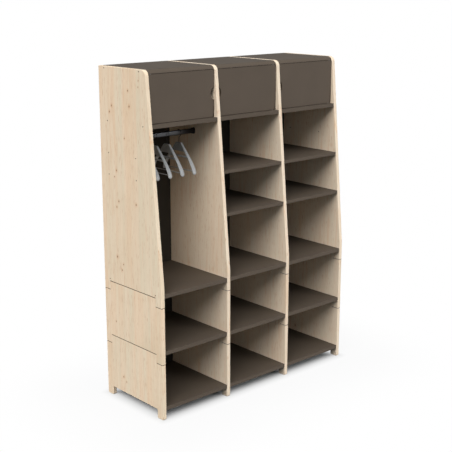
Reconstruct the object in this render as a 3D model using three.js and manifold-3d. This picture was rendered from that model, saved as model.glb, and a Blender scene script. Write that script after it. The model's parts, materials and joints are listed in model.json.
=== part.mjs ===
// A three-column wardrobe in pale softwood and dark painted board.
// Four uprights, each stacked from three interlocking pieces, carry boards, backs, three small doors,
// an oval clothes rail and four coat hangers. Millimetres, +Z up, the front faces -Y.

import * as THREE from 'three';
import { mergeVertices } from 'three/addons/utils/BufferGeometryUtils.js';
import Module from 'manifold-3d';

const wasm = await Module();
wasm.setup();

// The whole wardrobe
const columnCount = 3;
const columnPitch = 500;
const depth = 550;
const height = 2015;
const topSetBack = 112;
const slopeStartAboveStack = 116;

// Uprights
const uprightThickness = 24;
const uprightRoundover = 2.5;
const moduleHeight = 342;
const legWidth = 55;
const legHeight = 55;
const footRadius = 9;
const seamRadius = 4;
const recessRadius = 4;
const tabRadius = 5;
const tabTopGap = 1.6;
const frontTopRadius = 35;
const rearTopRadius = 6;
const slopeBlendRadius = 420;

// Painted boards; the shelves' places are shares of the space between the top floor and the door shelf
const floorThickness = 22;
const floorAboveRecess = 2;
const shelfThickness = 18;
const shelfRiseShares = [0.397, 0.667];
const doorShelfThickness = 22;
const topBoardThickness = 22;
const boardSetBack = 2;
const topBoardInset = 0.5;

// Back panels, held in grooves of the uprights
const backPanelThickness = 8;
const backPanelInset = 9;
const grooveDepth = 6;

// Fixings of the boards: insets from the uprights' edges, and the front row of the shelves' holes
const fixingInset = 55;
const shelfRowInset = 77;
const shelfRowFromFront = 211;

// Dowels of the boards and of the stacked upright pieces, and the sunk screws of the outer sides
const dowelRadius = 4;
const dowelLength = 8;
const stackDowelRadius = 5;
const stackDowelLength = 24;
const screwHoleRadius = 3;
const screwHoleDepth = 4;

// Doors, their pivot pins and their catches
const doorHeight = 271;
const doorThickness = 18;
const doorSetBack = 1;
const doorSideGap = 2;
const doorBottomGap = 2.6;
const doorTopGap = 2.4;
const doorEasing = 1.5;
const notchHeight = 72;
const notchDepth = 26;
const pivotFromEdge = 18;
const pivotRadius = 2.5;
const pivotReachInBoard = 6;
const pivotReachInDoor = 12;
const pivotCollarRadius = 5;
const catchFromEdge = 12;
const catchWidth = 36;
const catchDepth = 12;
const catchHeight = 9;

// Clothes rail and its sockets
const railHeight = 30;
const railWidth = 15;
const railWall = 1.5;
const railBelowDoorShelf = 77;
const railFromBack = 250;
const socketFlangeThickness = 3;
const socketFlangeMargin = 4.5;
const socketWall = 2.5;
const socketReach = 12;

// Coat hangers
const hangerCount = 4;
const hangerPitch = 90.5;
const hangerRowOffset = -13;
const hangerWidth = 292;
const hangerDrop = 176;
const neckBelowRail = 58;
const neckWidth = 54;
const neckPlateThickness = 11;
const neckPlateDrop = 51;
const armThickness = 10;
const armNeckBreadth = 16;
const armTipBreadth = 31;
const armTipRounding = 15;
const braceDrop = 80;
const braceThickness = 9;
const trouserBarRadius = 3;
const trouserBarRise = 19;

// Their wire hooks
const wireRadius = 1.9;
const hookClearance = 3;
const hookBendRadius = 8;
const hookTipAngle = THREE.MathUtils.degToRad(25);
const hookSocketDepth = 16;

// Gaps that touching pieces keep, the overrun of every cut, and how finely arcs are faceted
const fitGap = 0.3;
const cutOverrun = 5;
const facetTolerance = 0.4;
const roundoverSteps = 2;
const dowelSides = 6;
const pinSides = 8;
const wireSides = 6;
const armSides = 8;
const armSteps = 9;

// Sizes that follow from the driving dimensions
const width = columnCount * columnPitch + uprightThickness;
const stackNames = ['bottom', 'middle', 'top'];
const topLevel = stackNames.length - 1;
const slopeStartHeight = topLevel * moduleHeight + slopeStartAboveStack;
const floorUnderside = legHeight + floorAboveRecess;
const topFloorTop = topLevel * moduleHeight + floorUnderside + floorThickness;
const backPanelFront = depth - backPanelInset - backPanelThickness;
const topBoardTop = height - topBoardInset;
const topBoardUnderside = topBoardTop - topBoardThickness;
const doorTop = topBoardUnderside - doorTopGap;
const doorBottom = doorTop - doorHeight;
const doorFront = topSetBack + doorSetBack;
const doorBack = doorFront + doorThickness;
const doorShelfTop = doorBottom - doorBottomGap;
const doorShelfUnderside = doorShelfTop - doorShelfThickness;
const railCentreHeight = doorShelfUnderside - railBelowDoorShelf;
const railFromFront = depth - railFromBack;
const neckTop = railCentreHeight - neckBelowRail;
const hookInnerRadius = railHeight / 2 + hookClearance;

const materials = {
  wood: { color: 0xdcc3a1, roughness: 0.62, metalness: 0 },
  paint: { color: 0x5b5148, roughness: 0.6, metalness: 0 },
  rail: { color: 0x37393b, roughness: 0.35, metalness: 0.85 },
  pin: { color: 0xa7a9ab, roughness: 0.35, metalness: 0.9 },
  hanger: { color: 0xb4b6b8, roughness: 0.45, metalness: 0 },
  hook: { color: 0x2e2f31, roughness: 0.35, metalness: 0.85 },
};

// Everything is laid out from the left front foot; the group is moved to its reference point at the end
const wardrobe = new THREE.Group();

function addPiece(name, geometry, material, x = 0) {
  const mesh = new THREE.Mesh(geometry, new THREE.MeshStandardMaterial(materials[material]));
  mesh.name = name;
  mesh.position.x = x;
  wardrobe.add(mesh);
}

// Turns a closed geometry into a solid that can be joined and cut
function solidOf(geometry) {
  const bare = new THREE.BufferGeometry();
  bare.setAttribute('position', geometry.getAttribute('position'));
  bare.setIndex(geometry.getIndex());
  const merged = mergeVertices(bare);
  const corners = merged.getIndex().array;
  const triangles = [];
  for (let i = 0; i < corners.length; i += 3) {
    const [a, b, c] = corners.slice(i, i + 3);
    if (a !== b && b !== c && c !== a) triangles.push(a, b, c);
  }
  return new wasm.Manifold(new wasm.Mesh({
    numProp: 3,
    vertProperties: Float32Array.from(merged.getAttribute('position').array),
    triVerts: Uint32Array.from(triangles),
  }));
}

function geometryOf(solid) {
  const mesh = solid.getMesh();
  const geometry = new THREE.BufferGeometry();
  geometry.setAttribute('position', new THREE.BufferAttribute(mesh.vertProperties, 3));
  geometry.setIndex(new THREE.BufferAttribute(mesh.triVerts, 1));
  geometry.computeVertexNormals();
  return geometry;
}

function joined(...geometries) {
  return geometries.map(solidOf).reduce((whole, piece) => whole.add(piece));
}

function boxBetween([x0, y0, z0], [x1, y1, z1]) {
  const geometry = new THREE.BoxGeometry(x1 - x0, y1 - y0, z1 - z0);
  return geometry.translate((x0 + x1) / 2, (y0 + y1) / 2, (z0 + z1) / 2);
}

function arcSteps(radius, sweep) {
  const stepAngle = 2 * Math.acos(1 - Math.min(facetTolerance / radius, 0.5));
  return Math.max(2, Math.ceil(Math.abs(sweep) / stepAngle));
}

// The points of one rounded corner of an outline, from the edge before it to the edge after it
function cornerArc(before, corner, after, radius) {
  if (radius === 0) return [corner];
  const toBefore = before.clone().sub(corner).normalize();
  const toAfter = after.clone().sub(corner).normalize();
  const halfAngle = Math.acos(toBefore.dot(toAfter)) / 2;
  const middle = toBefore.clone().add(toAfter).normalize();
  const centre = corner.clone().addScaledVector(middle, radius / Math.sin(halfAngle));
  const start = corner.clone().addScaledVector(toBefore, radius / Math.tan(halfAngle)).sub(centre);
  const sweep = Math.sign(toAfter.cross(toBefore)) * (Math.PI - 2 * halfAngle);
  const steps = arcSteps(radius, sweep);
  const points = [];
  for (let i = 0; i <= steps; i += 1) {
    points.push(start.clone().rotateAround(new THREE.Vector2(), (sweep * i) / steps).add(centre));
  }
  return points;
}

// A closed outline from its corners, each given as two coordinates and a radius
function roundedOutline(corners) {
  return corners.flatMap(([a, b, radius = 0], i) => {
    const before = corners.at(i - 1);
    const after = corners[(i + 1) % corners.length];
    return cornerArc(
      new THREE.Vector2(before[0], before[1]),
      new THREE.Vector2(a, b),
      new THREE.Vector2(after[0], after[1]),
      radius,
    );
  });
}

function extrude(points, length, easing, hole) {
  const shape = new THREE.Shape(points);
  if (hole) shape.holes.push(new THREE.Path(hole));
  const geometry = new THREE.ExtrudeGeometry(shape, {
    depth: length - 2 * easing,
    bevelEnabled: easing > 0,
    bevelThickness: easing,
    bevelSize: easing,
    bevelOffset: -easing,
    bevelSegments: roundoverSteps,
  });
  return geometry.translate(0, 0, easing);
}

const axisX = new THREE.Vector3(1, 0, 0);
const axisY = new THREE.Vector3(0, 1, 0);
const axisZ = new THREE.Vector3(0, 0, 1);

// Extrudes an outline drawn in (y, z) along X, with its edges rounded over by the easing
function extrudeAlongX(points, from, to, easing = 0, hole = null) {
  const geometry = extrude(points, to - from, easing, hole);
  geometry.applyMatrix4(new THREE.Matrix4().makeBasis(axisY, axisZ, axisX));
  return geometry.translate(from, 0, 0);
}

// Extrudes an outline drawn in (x, z) from its back face to its front face
function extrudeAlongY(points, front, back, easing = 0) {
  const geometry = extrude(points, back - front, easing);
  const towardsFront = axisY.clone().negate();
  geometry.applyMatrix4(new THREE.Matrix4().makeBasis(axisX, axisZ, towardsFront));
  return geometry.translate(0, back, 0);
}

function cylinderAlongX(radius, x0, x1, y, z, sides) {
  const geometry = new THREE.CylinderGeometry(radius, radius, x1 - x0, sides);
  return geometry.rotateZ(Math.PI / 2).translate((x0 + x1) / 2, y, z);
}

function cylinderAlongZ(radius, z0, z1, x, y, sides) {
  const geometry = new THREE.CylinderGeometry(radius, radius, z1 - z0, sides);
  return geometry.rotateX(Math.PI / 2).translate(x, y, (z0 + z1) / 2);
}

// A hole's radius, with its facets outside the circle that the pin in it may turn in
function boreRadius(radius, sides) {
  return (radius + fitGap) / Math.cos(Math.PI / sides);
}

// The uprights' front edge stands straight, then leans back to the top
function frontEdgeAt(z) {
  return topSetBack * Math.max(0, (z - slopeStartHeight) / (height - slopeStartHeight));
}

function uprightLeft(index) {
  return index * columnPitch;
}

function columnLeft(column) {
  return uprightLeft(column) + uprightThickness;
}

function columnRight(column) {
  return uprightLeft(column + 1);
}

// The floors of a column, one for each stacked piece
function floorsOf(column) {
  return stackNames.map((stack, level) => ({
    name: `floor_${column + 1}_${stack}`,
    underside: level * moduleHeight + floorUnderside,
    thickness: floorThickness,
    fixings: [fixingInset, depth - fixingInset],
  }));
}

function shelvesOf(column) {
  return shelfRiseShares.map((share, i) => ({
    name: `shelf_${column + 1}_${['lower', 'upper'][i]}`,
    underside: THREE.MathUtils.lerp(topFloorTop, doorShelfUnderside, share),
    thickness: shelfThickness,
    fixings: [shelfRowFromFront, depth - shelfRowInset],
  }));
}

function doorShelfOf(column) {
  return {
    name: `door_shelf_${column + 1}`,
    underside: doorShelfUnderside,
    thickness: doorShelfThickness,
    fixings: [frontEdgeAt(doorShelfTop) + fixingInset, depth - shelfRowInset],
  };
}

function topBoardOf(column) {
  return {
    name: `top_board_${column + 1}`,
    underside: topBoardUnderside,
    thickness: topBoardThickness,
    fixings: [topSetBack + fixingInset, depth - fixingInset],
    front: topSetBack + boardSetBack,
    back: depth - topBoardInset,
  };
}

// Every board under the top one that spans a column; the first column hangs clothes and has no shelves
function boardsOf(column) {
  const shelves = column === 0 ? [] : shelvesOf(column);
  return [...floorsOf(column), ...shelves, doorShelfOf(column)].map((place) => ({
    ...place,
    front: frontEdgeAt(place.underside + place.thickness / 2) + boardSetBack,
    back: backPanelFront - fitGap,
  }));
}

function fixingPlaces(place) {
  return place.fixings.map((y) => ({ y, z: place.underside + place.thickness / 2 }));
}

// Two dowels stand out of each end of a board
function boardDowels(place, column) {
  const left = columnLeft(column) + fitGap;
  const right = columnRight(column) - fitGap;
  return fixingPlaces(place).flatMap(({ y, z }) => [
    cylinderAlongX(dowelRadius, left - dowelLength, left + cutOverrun, y, z, dowelSides),
    cylinderAlongX(dowelRadius, right - cutOverrun, right + dowelLength, y, z, dowelSides),
  ]);
}

// The holes for a column's dowels in the upright on its left or on its right
function dowelHoles(column, side) {
  const face = side === 'left' ? columnLeft(column) : columnRight(column);
  const depthInside = dowelLength + fitGap;
  const from = side === 'left' ? face - depthInside : face - cutOverrun;
  const to = side === 'left' ? face + cutOverrun : face + depthInside;
  const radius = boreRadius(dowelRadius, dowelSides);
  return [...boardsOf(column), topBoardOf(column)].flatMap(fixingPlaces).map(({ y, z }) => ({
    z,
    radius,
    geometry: cylinderAlongX(radius, from, to, y, z, dowelSides),
  }));
}

// Sunk screws show on an outer side of the top piece: at its boards, at the height of the upper shelf,
// and at a free pair of shelf holes half a step between shelves above it
function screwHoles(index) {
  const outerFace = index === 0 ? 0 : width;
  const inward = index === 0 ? 1 : -1;
  const ends = [outerFace - inward * cutOverrun, outerFace + inward * screwHoleDepth];
  const column = Math.min(index, columnCount - 1);
  const [lower, upper] = shelvesOf(column);
  const free = { ...upper, underside: upper.underside + (upper.underside - lower.underside) / 2 };
  const places = [floorsOf(column)[topLevel], upper, free, doorShelfOf(column), topBoardOf(column)];
  return places.flatMap(fixingPlaces).map(({ y, z }) => (
    cylinderAlongX(screwHoleRadius, Math.min(...ends), Math.max(...ends), y, z, pinSides)
  ));
}

// The groove for the edge of the back panels of the column on one side of an upright
function backGroove(column, side, bottom, top) {
  const face = side === 'left' ? columnLeft(column) : columnRight(column);
  const from = side === 'left' ? face - grooveDepth : face - cutOverrun;
  const to = side === 'left' ? face + cutOverrun : face + grooveDepth;
  const front = backPanelFront - fitGap;
  const back = backPanelFront + backPanelThickness + fitGap;
  return boxBetween([from, front, bottom], [to, back, top]);
}

// A whole upright from the side: two feet, and a front edge that leans back to a rounded top corner
function uprightOutline() {
  return roundedOutline([
    [0, 0, footRadius],
    [legWidth, 0, footRadius],
    [legWidth, legHeight, recessRadius],
    [depth - legWidth, legHeight, recessRadius],
    [depth - legWidth, 0, footRadius],
    [depth, 0, footRadius],
    [depth, height, rearTopRadius],
    [topSetBack, height, frontTopRadius],
    [0, slopeStartHeight, slopeBlendRadius],
  ]);
}

// The share of it that one stacked piece takes: its legs stand on the shoulders of the piece below, round
// that piece's tab, and its own tab reaches up between the legs of the piece above
function stackedOutline(level) {
  const base = level * moduleHeight;
  const front = -cutOverrun;
  const back = depth + cutOverrun;
  const feet = level === 0 ? [[front, -cutOverrun], [back, -cutOverrun]] : [
    [front, base],
    [legWidth, base, seamRadius],
    [legWidth, base + legHeight, recessRadius],
    [depth - legWidth, base + legHeight, recessRadius],
    [depth - legWidth, base, seamRadius],
    [back, base],
  ];
  if (level === topLevel) {
    return roundedOutline([...feet, [back, height + cutOverrun], [front, height + cutOverrun]]);
  }
  const shoulder = base + moduleHeight - fitGap;
  const tabTop = base + moduleHeight + legHeight - tabTopGap;
  const tabFront = legWidth + fitGap;
  const tabBack = depth - legWidth - fitGap;
  return roundedOutline([
    ...feet,
    [back, shoulder],
    [tabBack, shoulder],
    [tabBack, tabTop, tabRadius],
    [tabFront, tabTop, tabRadius],
    [tabFront, shoulder],
    [front, shoulder],
  ]);
}

function uprightPiece(index, level) {
  const left = uprightLeft(index);
  const middle = left + uprightThickness / 2;
  const base = level * moduleHeight;
  const shoulder = base + moduleHeight - fitGap;
  const top = level === topLevel ? height : shoulder + legHeight;
  const right = left + uprightThickness;
  let solid = solidOf(extrudeAlongX(uprightOutline(), left, right, uprightRoundover)).intersect(
    solidOf(extrudeAlongX(stackedOutline(level), left - cutOverrun, right + cutOverrun)),
  );

  // Each column beside the upright fits to it by dowels and a groove; the upright is on that column's side
  const neighbours = [{ column: index - 1, side: 'right' }, { column: index, side: 'left' }];
  for (const { column, side } of neighbours.filter((n) => n.column >= 0 && n.column < columnCount)) {
    const holes = dowelHoles(column, side);
    for (const hole of holes.filter(({ z, radius }) => z + radius > base && z - radius < top)) {
      solid = solid.subtract(solidOf(hole.geometry));
    }
    const grooveBottom = level === 0 ? floorUnderside - fitGap : base - cutOverrun;
    const grooveTop = level === topLevel ? topBoardUnderside : top + cutOverrun;
    solid = solid.subtract(solidOf(backGroove(column, side, grooveBottom, grooveTop)));
  }

  if (level === topLevel && (index === 0 || index === columnCount)) {
    solid = screwHoles(index).map(solidOf).reduce((whole, hole) => whole.subtract(hole), solid);
  }

  // A dowel stands in each shoulder and enters the leg above it
  for (const y of [legWidth / 2, depth - legWidth / 2]) {
    if (level > 0) {
      const radius = boreRadius(stackDowelRadius, dowelSides);
      const boreTop = base + stackDowelLength + fitGap;
      solid = solid.subtract(solidOf(cylinderAlongZ(radius, base - cutOverrun, boreTop, middle, y, dowelSides)));
    }
    if (level < topLevel) {
      const dowelTop = shoulder + stackDowelLength;
      const dowel = cylinderAlongZ(stackDowelRadius, shoulder - cutOverrun, dowelTop, middle, y, dowelSides);
      solid = solid.add(solidOf(dowel));
    }
  }
  return solid;
}

function board(column, place) {
  const left = columnLeft(column) + fitGap;
  const right = columnRight(column) - fitGap;
  const top = place.underside + place.thickness;
  const slab = boxBetween([left, place.front, place.underside], [right, place.back, top]);
  return joined(slab, ...boardDowels(place, column));
}

// Each door's upright axis; the first door is hinged on its left, the others on their right
function doorPivot(column) {
  const hingedLeft = column === 0;
  const edge = hingedLeft ? columnLeft(column) + doorSideGap : columnRight(column) - doorSideGap;
  const x = edge + (hingedLeft ? pivotFromEdge : -pivotFromEdge);
  return { hingedLeft, x, y: doorFront + doorThickness / 2 };
}

function pivotBore(column, from, to) {
  const { x, y } = doorPivot(column);
  return solidOf(cylinderAlongZ(boreRadius(pivotRadius, pinSides), from, to, x, y, pinSides));
}

function doorShelf(column, place) {
  const boreBottom = doorShelfTop - pivotReachInBoard - fitGap;
  return board(column, place).subtract(pivotBore(column, boreBottom, doorShelfTop + cutOverrun));
}

// The top board's front runs inside the uprights' rounded corner; a catch for the door hangs under it
function topBoard(column) {
  const place = topBoardOf(column);
  const left = columnLeft(column) + fitGap;
  const right = columnRight(column) - fitGap;
  const low = topBoardUnderside - frontTopRadius;
  const profile = roundedOutline([
    [frontEdgeAt(low) + boardSetBack, low],
    [place.back, low],
    [place.back, topBoardTop],
    [place.front, topBoardTop, frontTopRadius - boardSetBack],
  ]);
  const slab = solidOf(extrudeAlongX(profile, left, right)).intersect(solidOf(boxBetween(
    [left, 0, topBoardUnderside],
    [right, depth, height],
  )));

  const { hingedLeft } = doorPivot(column);
  const catchOuter = hingedLeft ? right - catchFromEdge : left + catchFromEdge;
  const catchInner = catchOuter + (hingedLeft ? -catchWidth : catchWidth);
  const catchBlock = boxBetween(
    [Math.min(catchInner, catchOuter), doorBack + fitGap, topBoardUnderside - catchHeight],
    [Math.max(catchInner, catchOuter), doorBack + fitGap + catchDepth, topBoardUnderside + topBoardThickness / 2],
  );
  const boreTop = topBoardUnderside + pivotReachInBoard + fitGap;
  return joined(catchBlock, ...boardDowels(place, column))
    .add(slab)
    .subtract(pivotBore(column, topBoardUnderside - cutOverrun, boreTop));
}

// A door with a round notch for the fingers at half the height of its free edge
function door(column) {
  const { hingedLeft } = doorPivot(column);
  const left = columnLeft(column) + doorSideGap;
  const right = columnRight(column) - doorSideGap;
  const free = hingedLeft ? right : left;
  const hinged = hingedLeft ? left : right;
  const inward = hingedLeft ? -1 : 1;
  const middle = (doorBottom + doorTop) / 2;
  const notchRadius = (notchHeight ** 2 / 4 + notchDepth ** 2) / (2 * notchDepth);
  const notchCentre = free + inward * (notchDepth - notchRadius);
  const halfSweep = Math.asin(notchHeight / (2 * notchRadius));
  const steps = arcSteps(notchRadius, 2 * halfSweep);
  const notch = [];
  for (let i = 0; i <= steps; i += 1) {
    const angle = halfSweep * ((2 * i) / steps - 1);
    notch.push([notchCentre + inward * notchRadius * Math.cos(angle), middle + notchRadius * Math.sin(angle)]);
  }
  const outline = roundedOutline([
    [hinged, doorBottom],
    [free, doorBottom],
    ...notch,
    [free, doorTop],
    [hinged, doorTop],
  ]);
  const boreDepth = pivotReachInDoor + fitGap;
  return solidOf(extrudeAlongY(outline, doorFront, doorBack, doorEasing))
    .subtract(pivotBore(column, doorBottom - cutOverrun, doorBottom + boreDepth))
    .subtract(pivotBore(column, doorTop - boreDepth, doorTop + cutOverrun));
}

// A pivot pin stands in a board and enters the door; its collar keeps the two apart
function pivotPin(column, boardFace, gap, towardsDoor) {
  const { x, y } = doorPivot(column);
  const profile = [
    [0, -pivotReachInBoard],
    [pivotRadius, -pivotReachInBoard],
    [pivotRadius, fitGap],
    [pivotCollarRadius, fitGap],
    [pivotCollarRadius, gap - fitGap],
    [pivotRadius, gap - fitGap],
    [pivotRadius, gap + pivotReachInDoor],
    [0, gap + pivotReachInDoor],
  ].map(([radius, along]) => new THREE.Vector2(radius, along));
  const geometry = new THREE.LatheGeometry(profile, pinSides);
  return geometry.rotateX(towardsDoor * (Math.PI / 2)).translate(x, y, boardFace);
}

function backPanel(column, level) {
  const bottom = level * moduleHeight + floorUnderside;
  const top = level === topLevel ? topBoardUnderside : bottom + moduleHeight;
  const reach = grooveDepth - fitGap;
  return boxBetween(
    [columnLeft(column) - reach, backPanelFront, bottom],
    [columnRight(column) + reach, backPanelFront + backPanelThickness, top - fitGap],
  );
}

// The rail's upright oval, grown by a margin on every side
function railOval(margin) {
  const halfWidth = railWidth / 2 + margin;
  const halfHeight = railHeight / 2 + margin;
  return roundedOutline([
    [railFromFront - halfWidth, railCentreHeight - halfHeight, halfWidth],
    [railFromFront + halfWidth, railCentreHeight - halfHeight, halfWidth],
    [railFromFront + halfWidth, railCentreHeight + halfHeight, halfWidth],
    [railFromFront - halfWidth, railCentreHeight + halfHeight, halfWidth],
  ]);
}

function rail(column) {
  const endGap = fitGap + socketFlangeThickness + fitGap;
  const from = columnLeft(column) + endGap;
  const to = columnRight(column) - endGap;
  return extrudeAlongX(railOval(0), from, to, 0, railOval(-railWall));
}

// A flange on the upright with a collar round the rail's end
function railSocket(face, inward) {
  const seat = face + inward * fitGap;
  const flangeEnd = seat + inward * socketFlangeThickness;
  const flangeMiddle = (seat + flangeEnd) / 2;
  const collarEnd = flangeEnd + inward * socketReach;
  const extent = (a, b) => [Math.min(a, b), Math.max(a, b)];
  return joined(
    extrudeAlongX(railOval(socketFlangeMargin), ...extent(seat, flangeEnd)),
    extrudeAlongX(railOval(fitGap + socketWall), ...extent(flangeMiddle, collarEnd), 0, railOval(fitGap)),
  );
}

// One shoulder of a hanger from the neck out to its tip, seen from the side; outward is 1 or -1 along Y
const shoulderBendOutShare = 0.35;
const shoulderBendDropShare = 0.3;
const tipBendDropShare = 0.72;

function shoulderCurve(outward) {
  const neck = new THREE.Vector2(neckWidth / 2 - armThickness / 2, neckTop - armThickness / 2);
  const tip = new THREE.Vector2(hangerWidth / 2 - armThickness / 2, neckTop - hangerDrop);
  const between = (outShare, dropShare) => new THREE.Vector2(
    railFromFront + outward * THREE.MathUtils.lerp(neck.x, tip.x, outShare),
    THREE.MathUtils.lerp(neck.y, tip.y, dropShare),
  );
  return new THREE.CubicBezierCurve(
    between(0, 0),
    between(shoulderBendOutShare, shoulderBendDropShare),
    between(1, tipBendDropShare),
    between(1, 1),
  );
}

// A closed skin over a row of ovals that stand square to a course drawn in (y, z)
function loft(stations, sides) {
  const positions = stations.flatMap(({ at, along, halfBreadth, halfThickness }) => {
    const ring = [];
    for (let j = 0; j < sides; j += 1) {
      const angle = (2 * Math.PI * (j + 0.5)) / sides;
      const out = halfThickness * Math.sin(angle);
      ring.push(halfBreadth * Math.cos(angle), at.x - along.y * out, at.y + along.x * out);
    }
    return ring;
  });
  const triangles = [];
  const last = (stations.length - 1) * sides;
  for (let first = 0; first < last; first += sides) {
    for (let j = 0; j < sides; j += 1) {
      const a = first + j;
      const b = first + ((j + 1) % sides);
      triangles.push(a, b + sides, b, a, a + sides, b + sides);
    }
  }
  for (let j = 1; j < sides - 1; j += 1) {
    triangles.push(0, j, j + 1, last, last + j + 1, last + j);
  }
  const geometry = new THREE.BufferGeometry();
  geometry.setAttribute('position', new THREE.Float32BufferAttribute(positions, 3));
  geometry.setIndex(triangles);
  return geometry;
}

// A shoulder grows broader outwards and is rounded off at its tip, where its ovals stand closer together
const tipEndShare = 0.96;
const stationCrowding = 1.6;

function shoulder(outward) {
  const curve = shoulderCurve(outward);
  const length = curve.getLength();
  const stations = [];
  for (let i = 0; i <= armSteps; i += 1) {
    const share = 1 - (1 - i / armSteps) ** stationCrowding;
    const fromTip = Math.max(0, 1 - (length * (1 - share)) / armTipRounding);
    const rounding = Math.sqrt(1 - (tipEndShare * fromTip) ** 2);
    stations.push({
      at: curve.getPointAt(share),
      along: curve.getTangentAt(share),
      halfBreadth: (rounding * THREE.MathUtils.lerp(armNeckBreadth, armTipBreadth, share)) / 2,
      halfThickness: (rounding * armThickness) / 2,
    });
  }
  return loft(stations, armSides);
}

// How far from the middle a shoulder's curve has come at a height, found by halving
function shoulderReachAt(height) {
  const curve = shoulderCurve(1);
  let low = 0;
  let high = 1;
  while (high - low > Number.EPSILON) {
    const middle = (low + high) / 2;
    if (curve.getPoint(middle).y > height) low = middle;
    else high = middle;
  }
  return curve.getPoint(low).x - railFromFront;
}

function hanger() {
  const plateBottom = neckTop - neckPlateDrop;
  const plateReach = shoulderReachAt(plateBottom);
  const plate = extrudeAlongX([
    new THREE.Vector2(railFromFront - plateReach, plateBottom),
    new THREE.Vector2(railFromFront + plateReach, plateBottom),
    new THREE.Vector2(railFromFront + neckWidth / 2 - armThickness / 2, neckTop),
    new THREE.Vector2(railFromFront - neckWidth / 2 + armThickness / 2, neckTop),
  ], -neckPlateThickness / 2, neckPlateThickness / 2);

  const braceHeight = neckTop - braceDrop;
  const braceReach = shoulderReachAt(braceHeight);
  const brace = boxBetween(
    [-neckPlateThickness / 2, railFromFront - braceReach, braceHeight - braceThickness / 2],
    [neckPlateThickness / 2, railFromFront + braceReach, braceHeight + braceThickness / 2],
  );

  const barHeight = neckTop - hangerDrop + trouserBarRise;
  const barReach = shoulderReachAt(barHeight);
  const bar = new THREE.CylinderGeometry(trouserBarRadius, trouserBarRadius, 2 * barReach, dowelSides);
  bar.translate(0, railFromFront, barHeight);

  const bore = cylinderAlongZ(
    boreRadius(wireRadius, wireSides),
    neckTop - hookSocketDepth,
    neckTop + cutOverrun,
    0,
    railFromFront,
    wireSides,
  );
  return joined(plate, shoulder(-1), shoulder(1), brace, bar).subtract(solidOf(bore));
}

// The hook's wire: up from the neck, a bend to the front, then a ring round the rail, open at the back
function hook() {
  const ring = hookInnerRadius + wireRadius;
  const ringHeight = railCentreHeight + railHeight / 2 + fitGap - hookInnerRadius;
  const bendBelowRing = Math.sqrt(ring ** 2 + 2 * ring * hookBendRadius);
  const bendHeight = ringHeight - bendBelowRing;
  const meetingAngle = Math.atan2(bendBelowRing, hookBendRadius);
  const foot = new THREE.Vector2(railFromFront, neckTop - hookSocketDepth + fitGap);
  const stemTop = new THREE.Vector2(railFromFront, bendHeight);
  const bendCentre = railFromFront - hookBendRadius;
  const ringStart = meetingAngle + Math.PI;
  const ringEnd = -hookTipAngle;
  const course = [
    { steps: 1, curve: new THREE.LineCurve(foot, stemTop) },
    {
      steps: arcSteps(hookBendRadius, meetingAngle),
      curve: new THREE.EllipseCurve(bendCentre, bendHeight, hookBendRadius, hookBendRadius, 0, meetingAngle),
    },
    {
      steps: arcSteps(ring, ringStart - ringEnd),
      curve: new THREE.EllipseCurve(railFromFront, ringHeight, ring, ring, ringStart, ringEnd, true),
    },
  ];
  const stationAt = (curve, share) => ({
    at: curve.getPoint(share),
    along: curve.getTangent(share),
    halfBreadth: wireRadius,
    halfThickness: wireRadius,
  });
  const stations = course.flatMap(({ steps, curve }) => (
    Array.from({ length: steps }, (_, i) => stationAt(curve, i / steps))
  ));
  return loft([...stations, stationAt(course.at(-1).curve, 1)], wireSides);
}

for (let index = 0; index <= columnCount; index += 1) {
  stackNames.forEach((stack, level) => {
    addPiece(`upright_${index + 1}_${stack}`, geometryOf(uprightPiece(index, level)), 'wood');
  });
}

for (let column = 0; column < columnCount; column += 1) {
  for (const place of boardsOf(column)) {
    const build = place.underside === doorShelfUnderside ? doorShelf : board;
    addPiece(place.name, geometryOf(build(column, place)), 'paint');
  }
  addPiece(topBoardOf(column).name, geometryOf(topBoard(column)), 'paint');
  stackNames.forEach((stack, level) => {
    addPiece(`back_panel_${column + 1}_${stack}`, backPanel(column, level), 'paint');
  });
  addPiece(`door_${column + 1}`, geometryOf(door(column)), 'paint');
  addPiece(`pivot_${column + 1}_lower`, pivotPin(column, doorShelfTop, doorBottomGap, 1), 'pin');
  addPiece(`pivot_${column + 1}_upper`, pivotPin(column, topBoardUnderside, doorTopGap, -1), 'pin');
}

// The first column is for hanging: a rail in two sockets, and a row of hangers
addPiece('clothes_rail', rail(0), 'rail');
addPiece('rail_socket_left', geometryOf(railSocket(columnLeft(0), 1)), 'rail');
addPiece('rail_socket_right', geometryOf(railSocket(columnRight(0), -1)), 'rail');

const hangerGeometry = geometryOf(hanger());
const hookGeometry = hook();
const hangerRowCentre = (columnLeft(0) + columnRight(0)) / 2 + hangerRowOffset;
for (let i = 0; i < hangerCount; i += 1) {
  const x = hangerRowCentre + hangerPitch * (i - (hangerCount - 1) / 2);
  addPiece(`hanger_${i + 1}`, hangerGeometry, 'hanger', x);
  addPiece(`hanger_hook_${i + 1}`, hookGeometry, 'hook', x);
}

// The reference point is the middle of the floor area that the wardrobe covers
wardrobe.position.set(-width / 2, -depth / 2, 0);

export default wardrobe;
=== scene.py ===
# A wardrobe of three columns: stacked pale softwood uprights, dark painted boards, backs and doors,
# and a rail with coat hangers. Lengths are in metres; the front faces -Y and the floor is at zero.
import json
import math

import bmesh
import bpy
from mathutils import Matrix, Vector
from mathutils.geometry import interpolate_bezier

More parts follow.
